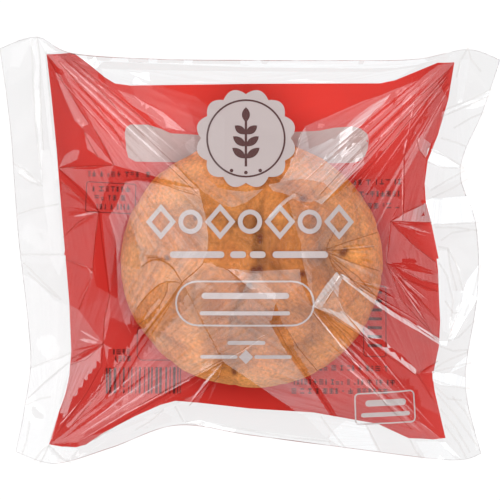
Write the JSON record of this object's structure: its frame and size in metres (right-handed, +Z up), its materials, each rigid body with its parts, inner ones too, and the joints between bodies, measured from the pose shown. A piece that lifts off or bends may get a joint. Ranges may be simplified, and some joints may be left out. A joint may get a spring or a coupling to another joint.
{
  "type": "wrapped cream puff",
  "caption": "Round golden choux bun in a sealed clear pillow pack with flat end seals, a printed back and diagonal folds, lying on its back.",
  "frame": {"origin": "under the middle of the whole object's box, on the surface that the pack rests on", "axes": "+X along the pack from one end seal to the other, +Y across it towards the upper folded side, +Z up from the resting face towards the shown front"},
  "size_m": [0.1644, 0.1398, 0.045],
  "materials": {
    "printed_film": "glossy film printed red, with a pale bar and small dark marks, seen through the clear front",
    "clear_film": "clear glossy film with sharp folds, white print on the front",
    "choux": "baked golden-brown choux crust, matte and finely speckled, darker in its folds"
  },
  "bodies": {
    "root": {"sealed_pack": "printed_film"}
  },
  "joints": []
}
